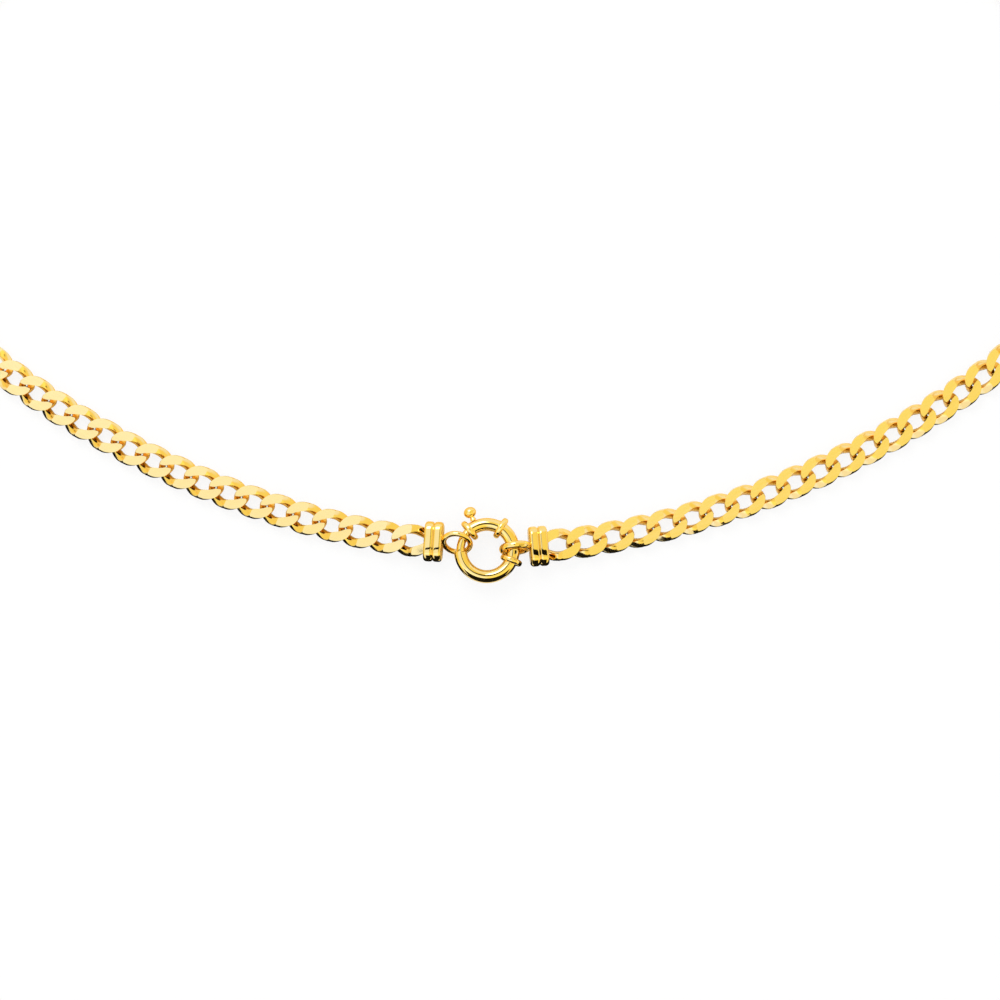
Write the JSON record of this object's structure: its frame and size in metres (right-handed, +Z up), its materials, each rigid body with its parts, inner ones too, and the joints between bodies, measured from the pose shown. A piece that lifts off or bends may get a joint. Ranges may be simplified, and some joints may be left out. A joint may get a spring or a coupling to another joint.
{
  "type": "chain necklace",
  "caption": "Gold flat curb chain necklace that closes with a spring bolt ring, hooked between two soldered loops on ribbed end caps.",
  "frame": {"origin": "on the table, under the middle of the bolt ring", "axes": "+Z up from the table, +X to the right along the front of the chain, +Y from the clasp towards the back of the loop"},
  "size_m": [0.226, 0.1449, 0.0059],
  "materials": {
    "gold": "polished",
    "steel": "bright"
  },
  "bodies": {
    "clasp": {"clasp_tube": "gold", "upper_collar": "gold", "middle_collar": "gold", "lower_collar": "gold", "tongue_spring": "steel", "spring_stop": "gold"},
    "tongue": {"tongue": "gold", "thumb_knob": "gold"},
    "left_end": {"left_loop": "gold", "left_cap": "gold", "left_link_01": "gold"},
    "left_link_02": {"left_link_02": "gold"},
    "left_link_03": {"left_link_03": "gold"},
    "left_link_04": {"left_link_04": "gold"},
    "left_link_05": {"left_link_05": "gold"},
    "left_link_06": {"left_link_06": "gold"},
    "left_link_07": {"left_link_07": "gold"},
    "left_link_08": {"left_link_08": "gold"},
    "left_link_09": {"left_link_09": "gold"},
    "left_link_10": {"left_link_10": "gold"},
    "left_link_11": {"left_link_11": "gold"},
    "left_link_12": {"left_link_12": "gold"},
    "left_link_13": {"left_link_13": "gold"},
    "left_link_14": {"left_link_14": "gold"},
    "left_link_15": {"left_link_15": "gold"},
    "left_link_16": {"left_link_16": "gold"},
    "left_link_17": {"left_link_17": "gold"},
    "left_link_18": {"left_link_18": "gold"},
    "left_run_1": {"left_run_1": "gold"},
    "left_run_2": {"left_run_2": "gold"},
    "left_run_3": {"left_run_3": "gold"},
    "left_run_4": {"left_run_4": "gold"},
    "left_run_5": {"left_run_5": "gold"},
    "left_run_6": {"left_run_6": "gold"},
    "right_end": {"right_loop": "gold", "right_cap": "gold", "right_link_01": "gold"},
    "right_link_02": {"right_link_02": "gold"},
    "right_link_03": {"right_link_03": "gold"},
    "right_link_04": {"right_link_04": "gold"},
    "right_link_05": {"right_link_05": "gold"},
    "right_link_06": {"right_link_06": "gold"},
    "right_link_07": {"right_link_07": "gold"},
    "right_link_08": {"right_link_08": "gold"},
    "right_link_09": {"right_link_09": "gold"},
    "right_link_10": {"right_link_10": "gold"},
    "right_link_11": {"right_link_11": "gold"},
    "right_link_12": {"right_link_12": "gold"},
    "right_link_13": {"right_link_13": "gold"},
    "right_link_14": {"right_link_14": "gold"},
    "right_link_15": {"right_link_15": "gold"},
    "right_link_16": {"right_link_16": "gold"},
    "right_link_17": {"right_link_17": "gold"},
    "right_link_18": {"right_link_18": "gold"},
    "right_link_19": {"right_link_19": "gold"},
    "right_run_1": {"right_run_1": "gold"},
    "right_run_2": {"right_run_2": "gold"},
    "right_run_3": {"right_run_3": "gold"},
    "right_run_4": {"right_run_4": "gold"},
    "right_run_5": {"right_run_5": "gold"}
  },
  "joints": [
    {"name": "tongue_slide", "type": "hinge", "parent": "clasp", "child": "tongue", "pos_m": [0, 0, 0.00305], "axis": [0, 0, -1], "range_deg": [0, 42], "stiffness_Nm_per_rad": 0.012, "springref_deg": -20.05, "deforming": ["tongue_spring"]},
    {"name": "left_loop_swing", "type": "hinge", "parent": "clasp", "child": "left_end", "pos_m": [-0.00461, 0.00132, 0.00305], "axis": [0.2756, 0.9613, 0], "range_deg": [-20, 20]},
    {"name": "left_link_02_hinge", "type": "hinge", "parent": "left_end", "child": "left_link_02", "pos_m": [-0.01608, 0.0021, 0.0016], "axis": [-0.1038, -0.9946, 0], "range_deg": [-18, 18]},
    {"name": "left_link_03_hinge", "type": "hinge", "parent": "left_link_02", "child": "left_link_03", "pos_m": [-0.02099, 0.00303, 0.0013], "axis": [0.2014, 0.9795, 0], "range_deg": [-18, 18]},
    {"name": "left_link_04_hinge", "type": "hinge", "parent": "left_link_03", "child": "left_link_04", "pos_m": [-0.02587, 0.00411, 0.00118], "axis": [-0.2297, -0.9733, 0], "range_deg": [-18, 18]},
    {"name": "left_link_05_hinge", "type": "hinge", "parent": "left_link_04", "child": "left_link_05", "pos_m": [-0.03072, 0.00533, 0.00113], "axis": [0.2578, 0.9662, 0], "range_deg": [-18, 18]},
    {"name": "left_link_06_hinge", "type": "hinge", "parent": "left_link_05", "child": "left_link_06", "pos_m": [-0.03553, 0.00669, 0.00111], "axis": [-0.2857, -0.9583, 0], "range_deg": [-18, 18]},
    {"name": "left_link_07_hinge", "type": "hinge", "parent": "left_link_06", "child": "left_link_07", "pos_m": [-0.0403, 0.00819, 0.00111], "axis": [0.3134, 0.9496, 0], "range_deg": [-18, 18]},
    {"name": "left_link_08_hinge", "type": "hinge", "parent": "left_link_07", "child": "left_link_08", "pos_m": [-0.04503, 0.00982, 0.0011], "axis": [-0.3408, -0.9401, 0], "range_deg": [-18, 18]},
    {"name": "left_link_09_hinge", "type": "hinge", "parent": "left_link_08", "child": "left_link_09", "pos_m": [-0.0497, 0.01159, 0.0011], "axis": [0.3679, 0.9299, 0], "range_deg": [-18, 18]},
    {"name": "left_link_10_hinge", "type": "hinge", "parent": "left_link_09", "child": "left_link_10", "pos_m": [-0.05432, 0.0135, 0.0011], "axis": [-0.3947, -0.9188, 0], "range_deg": [-18, 18]},
    {"name": "left_link_11_hinge", "type": "hinge", "parent": "left_link_10", "child": "left_link_11", "pos_m": [-0.05889, 0.01554, 0.0011], "axis": [0.4212, 0.907, 0], "range_deg": [-18, 18]},
    {"name": "left_link_12_hinge", "type": "hinge", "parent": "left_link_11", "child": "left_link_12", "pos_m": [-0.06339, 0.01771, 0.0011], "axis": [-0.4473, -0.8944, 0], "range_deg": [-18, 18]},
    {"name": "left_link_13_hinge", "type": "hinge", "parent": "left_link_12", "child": "left_link_13", "pos_m": [-0.06783, 0.02001, 0.0011], "axis": [0.4731, 0.881, 0], "range_deg": [-18, 18]},
    {"name": "left_link_14_hinge", "type": "hinge", "parent": "left_link_13", "child": "left_link_14", "pos_m": [-0.0722, 0.02244, 0.0011], "axis": [-0.4984, -0.8669, 0], "range_deg": [-18, 18]},
    {"name": "left_link_15_hinge", "type": "hinge", "parent": "left_link_14", "child": "left_link_15", "pos_m": [-0.0765, 0.025, 0.0011], "axis": [0.5233, 0.8521, 0], "range_deg": [-18, 18]},
    {"name": "left_link_16_hinge", "type": "hinge", "parent": "left_link_15", "child": "left_link_16", "pos_m": [-0.08072, 0.02767, 0.0011], "axis": [-0.5478, -0.8366, 0], "range_deg": [-18, 18]},
    {"name": "left_link_17_hinge", "type": "hinge", "parent": "left_link_16", "child": "left_link_17", "pos_m": [-0.08486, 0.03047, 0.0011], "axis": [0.5719, 0.8203, 0], "range_deg": [-18, 18]},
    {"name": "left_link_18_hinge", "type": "hinge", "parent": "left_link_17", "child": "left_link_18", "pos_m": [-0.08892, 0.03339, 0.0011], "axis": [-0.6113, -0.7914, 0], "range_deg": [-18, 18]},
    {"name": "left_run_1_hinge", "type": "hinge", "parent": "left_link_18", "child": "left_run_1", "pos_m": [-0.09277, 0.03658, 0.0011], "axis": [0.6778, 0.7353, 0], "range_deg": [-18, 18]},
    {"name": "left_run_2_hinge", "type": "hinge", "parent": "left_run_1", "child": "left_run_2", "pos_m": [-0.1072, 0.06232, 0.0011], "axis": [-0.9809, -0.1945, 0], "range_deg": [-18, 18]},
    {"name": "left_run_3_hinge", "type": "hinge", "parent": "left_run_2", "child": "left_run_3", "pos_m": [-0.10368, 0.09162, 0.0011], "axis": [0.9071, -0.421, 0], "range_deg": [-18, 18]},
    {"name": "left_run_4_hinge", "type": "hinge", "parent": "left_run_3", "child": "left_run_4", "pos_m": [-0.08358, 0.11321, 0.0011], "axis": [-0.5071, 0.8619, 0], "range_deg": [-18, 18]},
    {"name": "left_run_5_hinge", "type": "hinge", "parent": "left_run_4", "child": "left_run_5", "pos_m": [-0.05637, 0.12576, 0.0011], "axis": [0.3381, -0.9411, 0], "range_deg": [-18, 18]},
    {"name": "left_run_6_hinge", "type": "hinge", "parent": "left_run_5", "child": "left_run_6", "pos_m": [-0.0274, 0.1334, 0.0011], "axis": [-0.1703, 0.9854, 0], "range_deg": [-18, 18]},
    {"name": "right_loop_swing", "type": "hinge", "parent": "clasp", "child": "right_end", "pos_m": [0.00478, 0.00042, 0.00305], "axis": [0.0872, -0.9962, 0], "range_deg": [-20, 20]},
    {"name": "right_link_02_hinge", "type": "hinge", "parent": "right_end", "child": "right_link_02", "pos_m": [0.01577, 0.0014, 0.0016], "axis": [-0.1117, 0.9937, 0], "range_deg": [-18, 18]},
    {"name": "right_link_03_hinge", "type": "hinge", "parent": "right_link_02", "child": "right_link_03", "pos_m": [0.02071, 0.00221, 0.0013], "axis": [0.1765, -0.9843, 0], "range_deg": [-18, 18]},
    {"name": "right_link_04_hinge", "type": "hinge", "parent": "right_link_03", "child": "right_link_04", "pos_m": [0.02561, 0.00316, 0.00118], "axis": [-0.205, 0.9788, 0], "range_deg": [-18, 18]},
    {"name": "right_link_05_hinge", "type": "hinge", "parent": "right_link_04", "child": "right_link_05", "pos_m": [0.03049, 0.00426, 0.00113], "axis": [0.2333, -0.9724, 0], "range_deg": [-18, 18]},
    {"name": "right_link_06_hinge", "type": "hinge", "parent": "right_link_05", "child": "right_link_06", "pos_m": [0.03534, 0.00549, 0.00111], "axis": [-0.2614, 0.9652, 0], "range_deg": [-18, 18]},
    {"name": "right_link_07_hinge", "type": "hinge", "parent": "right_link_06", "child": "right_link_07", "pos_m": [0.04014, 0.00687, 0.00111], "axis": [0.2893, -0.9572, 0], "range_deg": [-18, 18]},
    {"name": "right_link_08_hinge", "type": "hinge", "parent": "right_link_07", "child": "right_link_08", "pos_m": [0.04491, 0.00839, 0.0011], "axis": [-0.3169, 0.9485, 0], "range_deg": [-18, 18]},
    {"name": "right_link_09_hinge", "type": "hinge", "parent": "right_link_08", "child": "right_link_09", "pos_m": [0.04963, 0.01004, 0.0011], "axis": [0.3443, -0.9389, 0], "range_deg": [-18, 18]},
    {"name": "right_link_10_hinge", "type": "hinge", "parent": "right_link_09", "child": "right_link_10", "pos_m": [0.0543, 0.01183, 0.0011], "axis": [-0.3714, 0.9285, 0], "range_deg": [-18, 18]},
    {"name": "right_link_11_hinge", "type": "hinge", "parent": "right_link_10", "child": "right_link_11", "pos_m": [0.05891, 0.01375, 0.0011], "axis": [0.3981, -0.9173, 0], "range_deg": [-18, 18]},
    {"name": "right_link_12_hinge", "type": "hinge", "parent": "right_link_11", "child": "right_link_12", "pos_m": [0.06347, 0.01581, 0.0011], "axis": [-0.4246, 0.9054, 0], "range_deg": [-18, 18]},
    {"name": "right_link_13_hinge", "type": "hinge", "parent": "right_link_12", "child": "right_link_13", "pos_m": [0.06796, 0.018, 0.0011], "axis": [0.4506, -0.8927, 0], "range_deg": [-18, 18]},
    {"name": "right_link_14_hinge", "type": "hinge", "parent": "right_link_13", "child": "right_link_14", "pos_m": [0.07239, 0.02032, 0.0011], "axis": [-0.4763, 0.8793, 0], "range_deg": [-18, 18]},
    {"name": "right_link_15_hinge", "type": "hinge", "parent": "right_link_14", "child": "right_link_15", "pos_m": [0.07676, 0.02276, 0.0011], "axis": [0.5016, -0.8651, 0], "range_deg": [-18, 18]},
    {"name": "right_link_16_hinge", "type": "hinge", "parent": "right_link_15", "child": "right_link_16", "pos_m": [0.08104, 0.02533, 0.0011], "axis": [-0.5265, 0.8502, 0], "range_deg": [-18, 18]},
    {"name": "right_link_17_hinge", "type": "hinge", "parent": "right_link_16", "child": "right_link_17", "pos_m": [0.08526, 0.02802, 0.0011], "axis": [0.5509, -0.8345, 0], "range_deg": [-18, 18]},
    {"name": "right_link_18_hinge", "type": "hinge", "parent": "right_link_17", "child": "right_link_18", "pos_m": [0.08939, 0.03084, 0.0011], "axis": [-0.5753, 0.818, 0], "range_deg": [-18, 18]},
    {"name": "right_link_19_hinge", "type": "hinge", "parent": "right_link_18", "child": "right_link_19", "pos_m": [0.09343, 0.03378, 0.0011], "axis": [0.6185, -0.7858, 0], "range_deg": [-18, 18]},
    {"name": "right_run_1_hinge", "type": "hinge", "parent": "right_link_19", "child": "right_run_1", "pos_m": [0.09724, 0.03702, 0.0011], "axis": [-0.6876, 0.7261, 0], "range_deg": [-18, 18]},
    {"name": "right_run_2_hinge", "type": "hinge", "parent": "right_run_1", "child": "right_run_2", "pos_m": [0.11196, 0.0679, 0.0011], "axis": [0.997, -0.0771, 0], "range_deg": [-18, 18]},
    {"name": "right_run_3_hinge", "type": "hinge", "parent": "right_run_2", "child": "right_run_3", "pos_m": [0.10217, 0.10069, 0.0011], "axis": [-0.7912, -0.6116, 0], "range_deg": [-18, 18]},
    {"name": "right_run_4_hinge", "type": "hinge", "parent": "right_run_3", "child": "right_run_4", "pos_m": [0.07366, 0.12034, 0.0011], "axis": [0.4152, 0.9097, 0], "range_deg": [-18, 18]},
    {"name": "right_run_5_hinge", "type": "hinge", "parent": "right_run_4", "child": "right_run_5", "pos_m": [0.04057, 0.13156, 0.0011], "axis": [-0.2234, -0.9747, 0], "range_deg": [-18, 18]}
  ]
}
